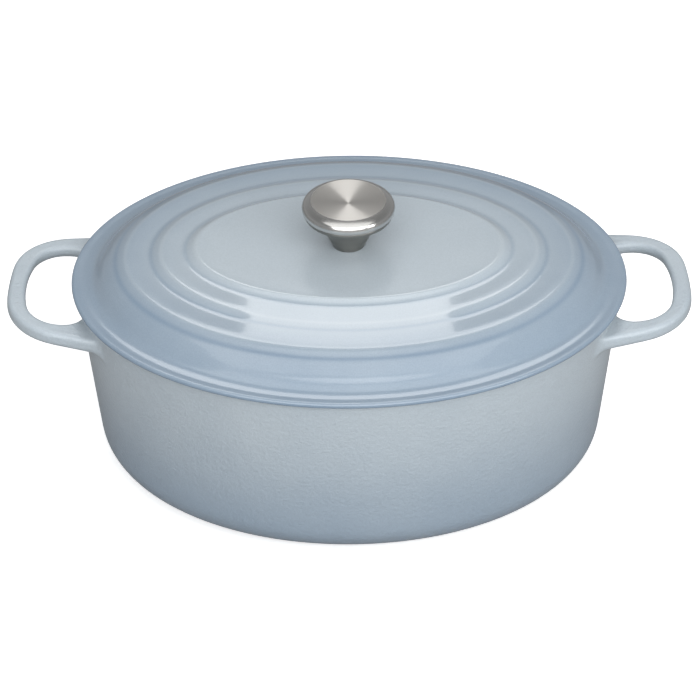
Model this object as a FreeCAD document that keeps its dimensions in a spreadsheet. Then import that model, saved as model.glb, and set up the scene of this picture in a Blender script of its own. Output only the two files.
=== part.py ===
import FreeCAD, Part
import math
import os
import Sketcher
from FreeCAD import Rotation, Vector

# Oval dutch oven in enamelled cast iron: pot with two loop handles cast on, stepped oval lid, and a
# stainless steel knob held by one screw from inside the lid.
# Millimetres. Origin: centre of the base, on the table. +X along the oval to a handle, +Z up.

doc = FreeCAD.newDocument("oval_dutch_oven")

# ---------------------------------------------------------------- driving dimensions
DIMENSIONS = [
    # the pot's oval, its wall and its base
    ("rim_height", 110.5, "table to the flat rim the lid sits on"),
    ("rim_half_length", 145.9, "outer half length at the rim"),
    ("rim_half_width", 114.3, "outer half width at the rim"),
    ("wall_draft", 0.076, "how far the wall leans out per mm of height"),
    ("base_corner", 23.4, "outer radius between wall and base"),
    ("wall_at_rim", 4.4, "wall thickness at the rim"),
    ("wall_at_base", 3.9, "wall thickness where the wall meets the base"),
    ("base_thickness", 4.4, "thickness of the base"),
    ("foot_band", 9.0, "width of the flat oval band the pot stands on"),
    ("foot_recess", 0.7, "depth of the shallow recess inside that band"),
    ("rim_edge", 0.8, "rounding of the rim's two edges"),
    # loop handles
    ("handle_top_drop", 9.0, "rim down to the handle's top face where its slab starts"),
    ("handle_thickness", 8.6, "height of the handle's bar"),
    ("handle_tilt", 6.0, "how much the handle rises towards its end, in degrees"),
    ("handle_reach", 183.9, "centre of the pot to the handle's outer end, before it is tilted"),
    ("handle_root", 118.0, "where the handle's slab starts, inside the wall"),
    ("handle_root_half", 53.0, "half width of the slab where it starts"),
    ("handle_taper", 11.0, "angle of the handle's sides, in degrees"),
    ("handle_corner", 34.0, "outer corner radius in plan"),
    ("handle_end_bow", 210.0, "radius of the slightly bowed outer end"),
    ("grip_bar", 9.3, "width of the bar at the outer end"),
    ("grip_root", 141.0, "centre of the pot to the finger opening's edge, just inside the wall"),
    ("grip_half", 35.2, "half width of the finger opening"),
    ("grip_corner", 19.0, "radius of the finger opening's outer corners"),
    ("grip_wall_corner", 12.0, "radius of its corners at the wall, where the bar widens"),
    ("grip_bow", 90.0, "radius of the finger opening's bowed end"),
    ("handle_edge", 2.0, "rounding of the bar's upper edges"),
    ("handle_under_edge", 3.0, "rounding of the loop's outer lower edge"),
    ("grip_under_edge", 4.5, "rounding of the lower edge that the fingers curl round"),
    ("handle_blend", 4.0, "casting fillet where the handle meets the wall"),
    # lid
    ("lid_half_length", 148.5, "outer half length of the lid"),
    ("lid_half_width", 117.0, "outer half width of the lid"),
    ("lid_edge_height", 2.9, "height of the lid's outer edge"),
    ("lid_edge_round", 1.2, "rounding of that edge"),
    ("lid_rise", 20.0, "rim plane to the lid's flat centre"),
    ("lid_thickness", 3.7, "thickness of the lid's plate"),
    ("brim_half_length", 137.5, "half length of the oval where the flat brim ends"),
    ("brim_half_width", 107.3, "half width of that oval"),
    ("brim_height", 3.2, "rim plane to the brim there"),
    ("shoulder_half_length", 131.5, "half length of the oval half way up the shoulder"),
    ("shoulder_half_width", 100.5, "half width of that oval"),
    ("shoulder_height", 8.6, "rim plane to the middle of the shoulder"),
    ("outer_ring_half_length", 119.5, "half length of the outer ring's crest"),
    ("outer_ring_half_width", 87.6, "half width of the outer ring's crest"),
    ("outer_ring_height", 15.4, "rim plane to the outer ring's crest"),
    ("middle_ring_half_length", 100.0, "half length of the middle ring's crest"),
    ("middle_ring_half_width", 67.0, "half width of the middle ring's crest"),
    ("middle_ring_height", 17.6, "rim plane to the middle ring's crest"),
    ("inner_ring_half_length", 81.8, "half length of the inner ring's crest"),
    ("inner_ring_half_width", 49.9, "half width of the inner ring's crest"),
    ("inner_ring_height", 19.9, "rim plane to the inner ring's crest"),
    ("ring_step", 5.3, "width of the sloping step outside a ring's crest"),
    ("ring_drop", 2.2, "height of that step"),
    ("underside_inset", 2.6, "brim's inner edge to the edge of the hollow below the lid"),
    ("lip_clearance", 1.2, "gap between the locating lip and the pot's wall"),
    ("lip_width", 3.2, "width of the locating lip"),
    ("lip_depth", 3.0, "how far the locating lip reaches into the pot"),
    ("screw_hole", 3.5, "radius of the hole through the lid"),
    # knob
    ("knob_radius", 24.6, "largest radius of the knob"),
    ("head_low", 21.2, "lid to the lower edge of the knob's head"),
    ("head_widest", 23.3, "lid to the knob's widest line"),
    ("head_draft", 0.3, "how far the head draws in below that line"),
    ("bevel_foot_radius", 23.4, "radius where the bevel meets the polished band"),
    ("bevel_foot_rise", 26.0, "lid to that line"),
    ("knob_rise", 27.8, "lid to the raised rim of the knob's dish"),
    ("dish_radius", 19.5, "radius of the knob's dished top"),
    ("dish_depth", 2.2, "depth of the dish at its centre"),
    ("neck_tuck", 1.0, "how far the neck's top stands in from the widest line"),
    ("knob_sheet", 1.6, "thickness of the knob's steel"),
    ("foot_radius", 8.8, "radius of the neck where it stands on the lid"),
    ("waist_radius", 10.9, "radius of the neck at the top of its foot"),
    ("waist_height", 5.2, "height of the neck's foot"),
    ("flare_radius", 22.0, "radius of the neck's trumpet flare"),
    ("insert_radius", 6.6, "outer radius of the threaded bush"),
    ("insert_length", 13.0, "length of the threaded bush"),
    # fastening
    ("screw_radius", 3.0, "M6 screw"),
    ("thread_gap", 0.05, "play between screw and bush, threads drawn plain"),
    ("screw_grip", 10.0, "how far the screw reaches into the bush"),
    ("head_radius", 5.6, "radius of the pan head"),
    ("head_height", 3.6, "height of the pan head"),
    ("head_round", 2.6, "radius of the pan head's rounding"),
    ("recess_span", 6.0, "width of the cross recess"),
    ("recess_slot", 1.3, "width of one arm of the cross recess"),
    ("recess_depth", 2.2, "depth of the cross recess"),
    ("washer_radius", 7.5, "outer radius of the flat washer"),
    ("washer_height", 1.4, "thickness of the flat washer"),
    ("washer_bore", 3.2, "inner radius of both washers"),
    ("spring_radius", 5.6, "outer radius of the split washer"),
    ("spring_height", 1.5, "thickness of the split washer"),
    ("spring_split", 0.9, "width of the split"),
]

dims = doc.addObject("Spreadsheet::Sheet", "dims")
for row, (alias, value, meaning) in enumerate(DIMENSIONS, start=1):
    dims.set(f"A{row}", meaning)
    dims.set(f"B{row}", str(value))
    dims.setAlias(f"B{row}", alias)
doc.recompute()


def size(alias):
    return float(dims.get(alias))


# ---------------------------------------------------------------- shared ways of building
def oval(name, half_length, half_width, height):
    """An ellipse on a level plane, all three sizes bound to the sheet."""
    ellipse = doc.addObject("Part::Ellipse", name)
    ellipse.setExpression("MajorRadius", half_length)
    ellipse.setExpression("MinorRadius", half_width)
    ellipse.setExpression("Placement.Base.z", height)
    return ellipse


def stacked_ovals(name, levels):
    """A solid of straight walls between ovals, each level given as (half length, half width, height)."""
    rings = [oval(f"{name}_oval_{index}", *level) for index, level in enumerate(levels, start=1)]
    solid = doc.addObject("Part::Loft", name)
    solid.Sections = rings
    solid.Solid = True
    solid.Ruled = True
    return solid


def cut(name, base, tool):
    result = doc.addObject("Part::Cut", name)
    result.Base, result.Tool = base, tool
    doc.recompute()
    return result


def fuse(name, base, tool):
    result = doc.addObject("Part::Fuse", name)
    result.Base, result.Tool = base, tool
    doc.recompute()
    return result


def rounded(name, base, radius, wanted):
    """Round every edge of base that the wanted test picks out."""
    result = doc.addObject("Part::Fillet", name)
    result.Base = base
    picked = [number for number, edge in enumerate(base.Shape.Edges, start=1) if wanted(edge)]
    result.Edges = [(number, radius, radius) for number in picked]
    doc.recompute()
    return result


def lies_level(edge, height):
    return abs(edge.BoundBox.ZMin - height) < 0.01 and abs(edge.BoundBox.ZMax - height) < 0.01


def bind(sketch, constraint, expression):
    """Add a dimension to a sketch and bind it to the sheet."""
    number = sketch.addConstraint(constraint)
    sketch.setExpression(f"Constraints[{number}]", expression)


# ---------------------------------------------------------------- pot: shell
BASE_HALF_LENGTH = "dims.rim_half_length - dims.wall_draft * dims.rim_height"
BASE_HALF_WIDTH = "dims.rim_half_width - dims.wall_draft * dims.rim_height"

pot_outside = stacked_ovals("pot_outside", [
    (BASE_HALF_LENGTH, BASE_HALF_WIDTH, "0"),
    ("dims.rim_half_length", "dims.rim_half_width", "dims.rim_height"),
])
doc.recompute()
pot_cornered = rounded("pot_cornered", pot_outside, size("base_corner"), lambda edge: lies_level(edge, 0))
pot_blank = rounded("pot_blank", pot_cornered, size("rim_edge"),
                    lambda edge: lies_level(edge, size("rim_height")))

# ---------------------------------------------------------------- pot: loop handles
def tongue_outline(name, root_side, half, taper, corner, reach, bow, start):
    """A U-shaped outline that starts inside the wall: two sides that close in by the taper angle,
    round corners and a slightly bowed end, on a plane that rises outwards from the start of the
    slab. Sizes are expressions, start is a first solution."""
    sketch = doc.addObject("Sketcher::SketchObject", name)
    root_x, half_y, side_point, corner_centre, end_point, bow_centre = start
    corner_radius = (side_point - corner_centre).Length
    bow_radius = (end_point - bow_centre).Length
    up = Vector(0, 0, 1)

    def mirrored(point):
        return Vector(point.x, -point.y, 0)

    def angle(point, centre):
        return math.atan2(point.y - centre.y, point.x - centre.x)

    root = Vector(root_x, half_y, 0)
    low_centre = mirrored(corner_centre)
    corner_circle = Part.Circle(corner_centre, up, corner_radius)
    bow_circle = Part.Circle(bow_centre, up, bow_radius)
    low_circle = Part.Circle(low_centre, up, corner_radius)
    low_side, low_end = mirrored(side_point), mirrored(end_point)
    side, high, front, low, other, back = sketch.addGeometry([
        Part.LineSegment(root, side_point),
        Part.ArcOfCircle(corner_circle, angle(end_point, corner_centre), angle(side_point, corner_centre)),
        Part.ArcOfCircle(bow_circle, angle(low_end, bow_centre), angle(end_point, bow_centre)),
        Part.ArcOfCircle(low_circle, angle(low_side, low_centre), angle(low_end, low_centre)),
        Part.LineSegment(low_side, mirrored(root)),
        Part.LineSegment(mirrored(root), root),
    ])
    sketch.addConstraint([
        Sketcher.Constraint("Tangent", side, 2, high, 2),
        Sketcher.Constraint("Tangent", high, 1, front, 2),
        Sketcher.Constraint("Tangent", front, 1, low, 2),
        Sketcher.Constraint("Tangent", low, 1, other, 1),
        Sketcher.Constraint("Coincident", other, 2, back, 1),
        Sketcher.Constraint("Coincident", back, 2, side, 1),
        Sketcher.Constraint("Symmetric", side, 1, other, 2, -1),
        Sketcher.Constraint("PointOnObject", front, 3, -1),
        Sketcher.Constraint("Equal", high, low),
        Sketcher.Constraint("Equal", side, other),
    ])
    bind(sketch, Sketcher.Constraint("Radius", high, corner_radius), corner)
    bind(sketch, Sketcher.Constraint("Radius", front, bow_radius), bow)
    bind(sketch, Sketcher.Constraint("DistanceX", -1, 1, side, 1, root_x), root_side)
    bind(sketch, Sketcher.Constraint("DistanceY", -1, 1, side, 1, half_y), half)
    bind(sketch, Sketcher.Constraint("DistanceX", -1, 1, front, 3, bow_centre.x), f"{reach} - {bow}")
    bind(sketch, Sketcher.Constraint("Angle", side, angle(side_point, root)), f"-{taper}")
    sketch.Placement.Rotation = Rotation(Vector(0, -1, 0), size("handle_tilt"))
    sketch.setExpression("Placement.Base.x", "dims.handle_root * (1 - cos(dims.handle_tilt))")
    slab_low = "dims.rim_height - dims.handle_top_drop - dims.handle_thickness"
    sketch.setExpression("Placement.Base.z", f"{slab_low} - dims.handle_root * sin(dims.handle_tilt)")
    return sketch


def slab(name, outline):
    """The outline pulled up, square to its plane, by the handle's thickness."""
    result = doc.addObject("Part::Extrusion", name)
    result.Base = outline
    result.DirMode = "Normal"
    result.Solid = True
    result.setExpression("LengthFwd", "dims.handle_thickness")
    return result


handle_outline = tongue_outline(
    "handle_outline", "dims.handle_root", "dims.handle_root_half", "dims.handle_taper * 1 deg",
    "dims.handle_corner", "dims.handle_reach", "dims.handle_end_bow",
    (118, 53, Vector(159.0, 45.0, 0), Vector(153.1, 14.6, 0), Vector(184.0, 17.1, 0), Vector(-25.3, 0, 0)))
grip_outline = tongue_outline(
    "grip_outline", "dims.grip_root", "dims.grip_half", "0 deg", "dims.grip_corner",
    "(dims.handle_reach - dims.grip_bar)", "dims.grip_bow",
    (141, 35.2, Vector(154.5, 35.2, 0), Vector(154.5, 16.2, 0), Vector(173.1, 20.5, 0), Vector(85.4, 0, 0)))
handle_slab = slab("handle_slab", handle_outline)
grip_slab = slab("grip_slab", grip_outline)
doc.recompute()


def in_handle(edge):
    """The middle of an edge, measured in the handle's plane and up from its lower face."""
    middle = edge.valueAt((edge.FirstParameter + edge.LastParameter) / 2)
    return handle_outline.Placement.inverse().multVec(middle)


def beside_wall(edge):
    """The finger opening's two upright edges on the side of the wall."""
    middle = in_handle(edge)
    return abs(middle.x - size("grip_root")) < 0.01 and abs(middle.y) > 1


def on_top(edge):
    middle = in_handle(edge)
    return abs(middle.z - size("handle_thickness")) < 0.01 and middle.x > size("handle_root") + 1


def underneath(edge):
    """The loop's lower edges, apart from those hidden inside the wall."""
    middle = in_handle(edge)
    return abs(middle.z) < 0.01 and middle.x > size("handle_root") + 1


def round_the_opening(edge):
    middle = in_handle(edge)
    in_reach = middle.x < size("handle_reach") - size("grip_bar") + 0.1
    return underneath(edge) and in_reach and abs(middle.y) < size("grip_half") + 0.1


def round_the_outside(edge):
    return underneath(edge) and not round_the_opening(edge)


opening = rounded("opening", grip_slab, size("grip_wall_corner"), beside_wall)
handle_blank = cut("handle_blank", handle_slab, opening)
handle_topped = rounded("handle_topped", handle_blank, size("handle_edge"), on_top)
handle_under = rounded("handle_under", handle_topped, size("handle_under_edge"), round_the_outside)
right_handle = rounded("right_handle", handle_under, size("grip_under_edge"), round_the_opening)
left_handle = doc.addObject("Part::Mirroring", "left_handle")
left_handle.Source = right_handle
left_handle.Normal = Vector(1, 0, 0)
doc.recompute()
with_right = fuse("with_right", pot_blank, right_handle)
with_both = fuse("with_both", with_right, left_handle)


def on_the_wall(edge):
    """Edges where a handle's bar runs into the wall: on the shell's skin, between rim and base."""
    middle = edge.valueAt((edge.FirstParameter + edge.LastParameter) / 2)
    below_rim = size("rim_height") - middle.z
    if not 2 < below_rim < 25 or edge.Length > 60:
        return False
    return pot_blank.Shape.Shells[0].distToShape(Part.Vertex(middle))[0] < 0.001


pot_casting = rounded("pot_casting", with_both, size("handle_blend"), on_the_wall)

# ---------------------------------------------------------------- pot: cavity, rim and foot
pot_cavity_block = stacked_ovals("pot_cavity_block", [
    (f"{BASE_HALF_LENGTH} + dims.wall_draft * dims.base_thickness - dims.wall_at_base",
     f"{BASE_HALF_WIDTH} + dims.wall_draft * dims.base_thickness - dims.wall_at_base",
     "dims.base_thickness"),
    ("dims.rim_half_length - dims.wall_at_rim", "dims.rim_half_width - dims.wall_at_rim",
     "dims.rim_height - dims.rim_edge"),
    ("dims.rim_half_length - dims.wall_at_rim + dims.rim_edge",
     "dims.rim_half_width - dims.wall_at_rim + dims.rim_edge", "dims.rim_height"),
])
doc.recompute()
pot_cavity = rounded("pot_cavity", pot_cavity_block, size("base_corner") - size("wall_at_base"),
                     lambda edge: lies_level(edge, size("base_thickness")))
hollow_pot = cut("hollow_pot", pot_casting, pot_cavity)
# the wall's corner takes up 0.93 of its radius in plan before the base is flat
FLAT_INSET = "dims.base_corner * 0.93 - dims.foot_band"
foot_recess = stacked_ovals("foot_recess_block", [
    (f"{BASE_HALF_LENGTH} - {FLAT_INSET}", f"{BASE_HALF_WIDTH} - {FLAT_INSET}", "-1"),
    (f"{BASE_HALF_LENGTH} - {FLAT_INSET} - 0.4", f"{BASE_HALF_WIDTH} - {FLAT_INSET} - 0.4",
     "dims.foot_recess"),
])
doc.recompute()
pot = cut("pot", hollow_pot, foot_recess)

# ---------------------------------------------------------------- lid
def ring_levels(ring):
    """The two levels of one ring: the foot of its outside step, then its crest."""
    length, width, rise = (f"dims.{ring}_ring_half_length", f"dims.{ring}_ring_half_width",
                           f"dims.{ring}_ring_height")
    return [
        (f"{length} + dims.ring_step", f"{width} + dims.ring_step",
         f"dims.rim_height + {rise} - dims.ring_drop"),
        (length, width, f"dims.rim_height + {rise}"),
    ]


def under(levels, drop):
    """The same levels seen from below the plate: lower by its thickness and a little smaller."""
    return [(f"{length} - dims.lid_thickness / 2", f"{width} - dims.lid_thickness / 2", f"{rise} - {drop}")
            for length, width, rise in levels]


EDGE_LENGTH, EDGE_WIDTH = "dims.lid_half_length", "dims.lid_half_width"
rings = ring_levels("outer") + ring_levels("middle") + ring_levels("inner")
shoulder = ("dims.shoulder_half_length", "dims.shoulder_half_width",
            "dims.rim_height + dims.shoulder_height")
centre = ("dims.inner_ring_half_length - dims.ring_step", "dims.inner_ring_half_width - dims.ring_step",
          "dims.rim_height + dims.lid_rise")

lid_outside = stacked_ovals("lid_outside", [
    (EDGE_LENGTH, EDGE_WIDTH, "dims.rim_height"),
    (EDGE_LENGTH, EDGE_WIDTH, "dims.rim_height + dims.lid_edge_height - dims.lid_edge_round"),
    (f"{EDGE_LENGTH} - dims.lid_edge_round", f"{EDGE_WIDTH} - dims.lid_edge_round",
     "dims.rim_height + dims.lid_edge_height"),
    ("dims.brim_half_length", "dims.brim_half_width", "dims.rim_height + dims.brim_height"),
    shoulder,
] + rings + [centre])
HOLLOW_LENGTH = "dims.brim_half_length - dims.underside_inset"
HOLLOW_WIDTH = "dims.brim_half_width - dims.underside_inset"
lid_underside = stacked_ovals("lid_underside", [
    (HOLLOW_LENGTH, HOLLOW_WIDTH, "dims.rim_height - 1"),
    (HOLLOW_LENGTH, HOLLOW_WIDTH, "dims.rim_height + 0.2"),
] + under([shoulder] + rings + [centre], "dims.lid_thickness"))
LIP_LENGTH = "dims.rim_half_length - dims.wall_at_rim - dims.lip_clearance"
LIP_WIDTH = "dims.rim_half_width - dims.wall_at_rim - dims.lip_clearance"
lip_block = stacked_ovals("lip_block", [
    (f"{LIP_LENGTH} - 0.5", f"{LIP_WIDTH} - 0.5", "dims.rim_height - dims.lip_depth"),
    (LIP_LENGTH, LIP_WIDTH, "dims.rim_height + 0.5"),
])
lip_inside = stacked_ovals("lip_inside", [
    (f"{LIP_LENGTH} - dims.lip_width", f"{LIP_WIDTH} - dims.lip_width",
     "dims.rim_height - dims.lip_depth - 1"),
    (f"{LIP_LENGTH} - dims.lip_width - 0.5", f"{LIP_WIDTH} - dims.lip_width - 0.5",
     "dims.rim_height + 1"),
])
screw_way = doc.addObject("Part::Cylinder", "screw_way")
screw_way.setExpression("Radius", "dims.screw_hole")
screw_way.setExpression("Height", "dims.lid_rise")
screw_way.setExpression("Placement.Base.z", "dims.rim_height + 5")
doc.recompute()
lid_plate = cut("lid_plate", lid_outside, lid_underside)
locating_lip = cut("locating_lip", lip_block, lip_inside)
lid_with_lip = fuse("lid_with_lip", lid_plate, locating_lip)
lid = cut("lid", lid_with_lip, screw_way)


# ---------------------------------------------------------------- turned pieces
def turned_body(name, corners, height):
    """A body turned about the vertical axis. Each corner is (radius, height) as expressions, with a
    third value where an arc of that radius runs on to the next corner; a minus sign in front of the
    arc's radius bends it the other way. The body stands at a height above the table."""
    body = doc.addObject("PartDesign::Body", name)
    body.setExpression("Placement.Base.z", height)
    plane = next(item for item in body.Origin.OriginFeatures if item.Role == "XZ_Plane")
    sketch = body.newObject("Sketcher::SketchObject", f"{name}_outline")
    sketch.AttachmentSupport = (plane, [""])
    sketch.MapMode = "FlatFace"
    spots = [Vector(value_of(corner[0]), value_of(corner[1]), 0) for corner in corners]
    count = len(corners)
    ends = []
    for index, corner in enumerate(corners):
        begin, finish = spots[index], spots[(index + 1) % count]
        if len(corner) == 2:
            number = sketch.addGeometry(Part.LineSegment(begin, finish))
        else:
            radius = value_of(corner[2].lstrip("-"))
            along = finish - begin
            across = Vector(along.y, -along.x, 0).normalize()
            if corner[2].startswith("-"):
                across = across * -1
            sag = radius - math.sqrt(radius ** 2 - (along.Length / 2) ** 2)
            number = sketch.addGeometry(Part.Arc(begin, begin + along * 0.5 + across * sag, finish))
        forward = sketch.getPoint(number, 1).distanceToPoint(begin) < 1e-6
        ends.append((number, (1, 2) if forward else (2, 1)))
    for index, (number, (first, last)) in enumerate(ends):
        following, (start, _) = ends[(index + 1) % count]
        sketch.addConstraint(Sketcher.Constraint("Coincident", number, last, following, start))
        across, upward = spots[index].x, spots[index].y
        bind(sketch, Sketcher.Constraint("DistanceX", -1, 1, number, first, across), corners[index][0])
        bind(sketch, Sketcher.Constraint("DistanceY", -1, 1, number, first, upward), corners[index][1])
        if len(corners[index]) == 3:
            bend = corners[index][2].lstrip("-")
            bind(sketch, Sketcher.Constraint("Radius", number, value_of(bend)), bend)
    turned = body.newObject("PartDesign::Revolution", f"{name}_turning")
    turned.Profile = sketch
    turned.ReferenceAxis = (sketch, ["V_Axis"])
    turned.Angle = 360
    doc.recompute()
    return body


def value_of(expression):
    """A number or an expression on the sheet, as millimetres."""
    return float(dims.evalExpression(expression))


def cross_section_pocket(body, name, rectangles, height, depth, upwards):
    """Pockets of level rectangles centred at (x, y) with sizes (width, length), cut from a height."""
    plane = next(item for item in body.Origin.OriginFeatures if item.Role == "XY_Plane")
    for number, (x, y, width, length) in enumerate(rectangles, start=1):
        sketch = body.newObject("Sketcher::SketchObject", f"{name}_outline_{number}")
        sketch.AttachmentSupport = (plane, [""])
        sketch.MapMode = "FlatFace"
        sketch.setExpression("AttachmentOffset.Base.z", height)
        half_x, half_y = value_of(width) / 2, value_of(length) / 2
        cx, cy = value_of(x), value_of(y)
        corners = [Vector(cx - half_x, cy - half_y, 0), Vector(cx + half_x, cy - half_y, 0),
                   Vector(cx + half_x, cy + half_y, 0), Vector(cx - half_x, cy + half_y, 0)]
        for index in range(4):
            sketch.addGeometry(Part.LineSegment(corners[index], corners[(index + 1) % 4]))
        for index in range(4):
            sketch.addConstraint(Sketcher.Constraint("Coincident", index, 2, (index + 1) % 4, 1))
            kind = "Vertical" if index % 2 else "Horizontal"
            sketch.addConstraint(Sketcher.Constraint(kind, index))
        bind(sketch, Sketcher.Constraint("DistanceX", 0, 1, 0, 2, 2 * half_x), width)
        bind(sketch, Sketcher.Constraint("DistanceY", 1, 1, 1, 2, 2 * half_y), length)
        bind(sketch, Sketcher.Constraint("DistanceX", -1, 1, 0, 1, corners[0].x), f"{x} - {width} / 2")
        bind(sketch, Sketcher.Constraint("DistanceY", -1, 1, 0, 1, corners[0].y), f"{y} - {length} / 2")
        before = body.Shape.Volume
        pocket = body.newObject("PartDesign::Pocket", f"{name}_{number}")
        pocket.Profile = sketch
        pocket.setExpression("Length", depth)
        pocket.Reversed = upwards
        doc.recompute()
        if not body.Shape.Volume < before:
            raise RuntimeError(f"{name} {number} cuts nothing")


# ---------------------------------------------------------------- knob
LID_TOP = "dims.rim_height + dims.lid_rise"
LID_CEILING = "dims.rim_height + dims.lid_rise - dims.lid_thickness"
INSIDE_HEAD = "dims.knob_radius - dims.knob_sheet"

knob_cap = turned_body("knob_cap", [
    (f"{INSIDE_HEAD} - dims.head_draft", "dims.head_low"),
    ("dims.knob_radius - dims.head_draft", "dims.head_low"),
    ("dims.knob_radius", "dims.head_widest"),
    ("dims.bevel_foot_radius", "dims.bevel_foot_rise"),
    ("dims.dish_radius", "dims.knob_rise"),
    ("0", "dims.knob_rise - dims.dish_depth"),
    ("0", "dims.knob_rise - dims.dish_depth - dims.knob_sheet"),
    ("dims.dish_radius - 0.6", "dims.knob_rise - dims.knob_sheet"),
    ("dims.bevel_foot_radius - 1.2", "dims.bevel_foot_rise - 1.2"),
    (INSIDE_HEAD, "dims.head_widest - 0.4"),
], LID_TOP)

NECK_BORE = "dims.insert_radius + dims.thread_gap"
NECK_TOP = "dims.knob_radius - dims.neck_tuck"
knob_stem = turned_body("knob_stem", [
    (NECK_BORE, "0"),
    ("dims.foot_radius", "0"),
    ("dims.waist_radius", "dims.waist_height", "-dims.flare_radius"),
    (f"{NECK_TOP} - 0.5", "dims.head_low - 2.4"),
    (NECK_TOP, "dims.head_low - 0.8"),
    (NECK_TOP, "dims.head_low"),
    (f"{NECK_TOP} - dims.knob_sheet", "dims.head_low"),
    (f"{NECK_TOP} - dims.knob_sheet", "dims.head_low - 0.8", "dims.flare_radius"),
    ("dims.waist_radius - 0.7", "dims.waist_height + 2.4"),
    (NECK_BORE, "dims.waist_height + 2.4"),
], LID_TOP)

SCREW_BORE = "dims.screw_radius + dims.thread_gap"
knob_insert = turned_body("knob_insert", [
    (SCREW_BORE, "0.5"),
    (f"{SCREW_BORE} + 0.5", "0"),
    ("dims.insert_radius", "0"),
    ("dims.insert_radius", "dims.insert_length - 1"),
    ("dims.insert_radius - 1", "dims.insert_length"),
    (SCREW_BORE, "dims.insert_length"),
], LID_TOP)

# ---------------------------------------------------------------- fastening, under the lid
flat_washer = turned_body("flat_washer", [
    ("dims.washer_bore", "-dims.washer_height"),
    ("dims.washer_radius - 0.2", "-dims.washer_height"),
    ("dims.washer_radius", "0.2 - dims.washer_height"),
    ("dims.washer_radius", "0"),
    ("dims.washer_bore", "0"),
], LID_CEILING)

lock_washer = turned_body("lock_washer", [
    ("dims.washer_bore", "-dims.spring_height"),
    ("dims.spring_radius", "-dims.spring_height"),
    ("dims.spring_radius", "0"),
    ("dims.washer_bore", "0"),
], f"{LID_CEILING} - dims.washer_height")
cross_section_pocket(lock_washer, "split", [
    ("dims.spring_radius", "0", "dims.spring_radius", "dims.spring_split"),
], "1", "dims.spring_height + 2", False)

HEAD_SEAT = f"{LID_CEILING} - dims.washer_height - dims.spring_height"
SHANK = "dims.lid_thickness + dims.washer_height + dims.spring_height + dims.screw_grip"
knob_screw = turned_body("knob_screw", [
    ("0", "-dims.head_height"),
    ("dims.head_radius - 1.8", "-dims.head_height", "dims.head_round"),
    ("dims.head_radius", "1 - dims.head_height / 2"),
    ("dims.head_radius", "0"),
    ("dims.screw_radius", "0"),
    ("dims.screw_radius", f"{SHANK} - 0.6"),
    ("dims.screw_radius - 0.6", SHANK),
    ("0", SHANK),
], HEAD_SEAT)
cross_section_pocket(knob_screw, "recess", [
    ("0", "0", "dims.recess_span", "dims.recess_slot"),
    ("0", "0", "dims.recess_slot", "dims.recess_span"),
], "-dims.head_height", "dims.recess_depth", True)

# ---------------------------------------------------------------- check and write
doc.recompute()
for item in doc.Objects:
    if "Invalid" in item.State or "Error" in item.State:
        raise RuntimeError(f"{item.Name} failed: {item.State}")

subparts = [pot, lid, knob_cap, knob_stem, knob_insert, flat_washer, lock_washer, knob_screw]
os.makedirs("parts", exist_ok=True)
for piece in subparts:
    piece.Label = piece.Name
    shape = piece.Shape
    if shape.isNull() or not shape.isValid():
        raise RuntimeError(f"{piece.Label} has no valid shape")
    shape.exportStep(f"parts/{piece.Label}.step")
    print(f"{piece.Label:14s} {shape.Volume / 1000:9.2f} cm3, {len(shape.Solids)} solid, "
          f"{len(shape.Faces)} faces")
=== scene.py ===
import math

import bmesh
import bpy
import numpy as np
from mathutils import Matrix, Vector


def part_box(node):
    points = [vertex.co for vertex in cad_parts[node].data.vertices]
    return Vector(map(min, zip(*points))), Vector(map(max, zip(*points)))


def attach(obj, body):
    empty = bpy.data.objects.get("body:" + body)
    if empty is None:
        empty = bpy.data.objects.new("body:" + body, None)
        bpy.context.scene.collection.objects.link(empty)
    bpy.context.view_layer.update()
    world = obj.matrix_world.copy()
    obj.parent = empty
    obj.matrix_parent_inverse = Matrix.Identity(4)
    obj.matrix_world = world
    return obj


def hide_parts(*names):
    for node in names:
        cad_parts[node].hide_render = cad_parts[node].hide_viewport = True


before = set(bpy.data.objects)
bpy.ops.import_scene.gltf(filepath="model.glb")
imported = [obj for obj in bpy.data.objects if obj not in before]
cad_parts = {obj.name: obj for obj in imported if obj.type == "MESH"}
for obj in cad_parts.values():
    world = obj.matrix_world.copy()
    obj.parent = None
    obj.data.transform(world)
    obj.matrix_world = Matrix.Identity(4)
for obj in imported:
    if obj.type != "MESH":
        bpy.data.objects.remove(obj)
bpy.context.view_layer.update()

# ------------------------------------------------------------------------------------------
# The pot: one grey iron casting with both loop handles on it. The wall is about 4 mm thick
# and leans out a little so that the pattern leaves the sand. Base, wall and rim are rows of
# points round the oval; each handle's bar grows out of a gap left in the rows of the wall.
pot_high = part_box("pot")[1]

COLUMNS = 200                       # points round the oval
RIM_HEIGHT = pot_high.z
RIM_LENGTH = 0.1459                 # half length of the oval at the rim
RIM_WIDTH = pot_high.y              # half width of the oval at the rim
DRAFT = 0.076                       # the wall leans out this much per unit of height
BASE_CORNER = 0.0234
BASE_THICKNESS = 0.0044
WALL_AT_RIM, WALL_AT_BASE = 0.0044, 0.0039
FOOT_BAND, FOOT_RECESS = 0.009, 0.0007
RIM_EDGE = 0.0008

BAR_ROOT = 0.118                    # the bar is laid out from here, inside the wall, and rises outwards
BAR_TILT = math.radians(6)
BAR_LOW = RIM_HEIGHT - 0.009 - 0.0086
BAR_HEIGHT = 0.0086
BAR_REACH = 0.1839                  # before the bar is tilted
RUN_IN_WALL = 0.018                 # from the bar's root to where it leaves the wall
TOP_EDGE, UNDER_EDGE, GRIP_EDGE = 0.0020, 0.0030, 0.0045
BLEND = 0.0042                      # casting fillet between bar and wall
ROOT_FIRST, ROOT_LAST = 7, 16       # columns of the wall, counted from its end, that a bar takes up
ROOT_ROWS = 6


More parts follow.
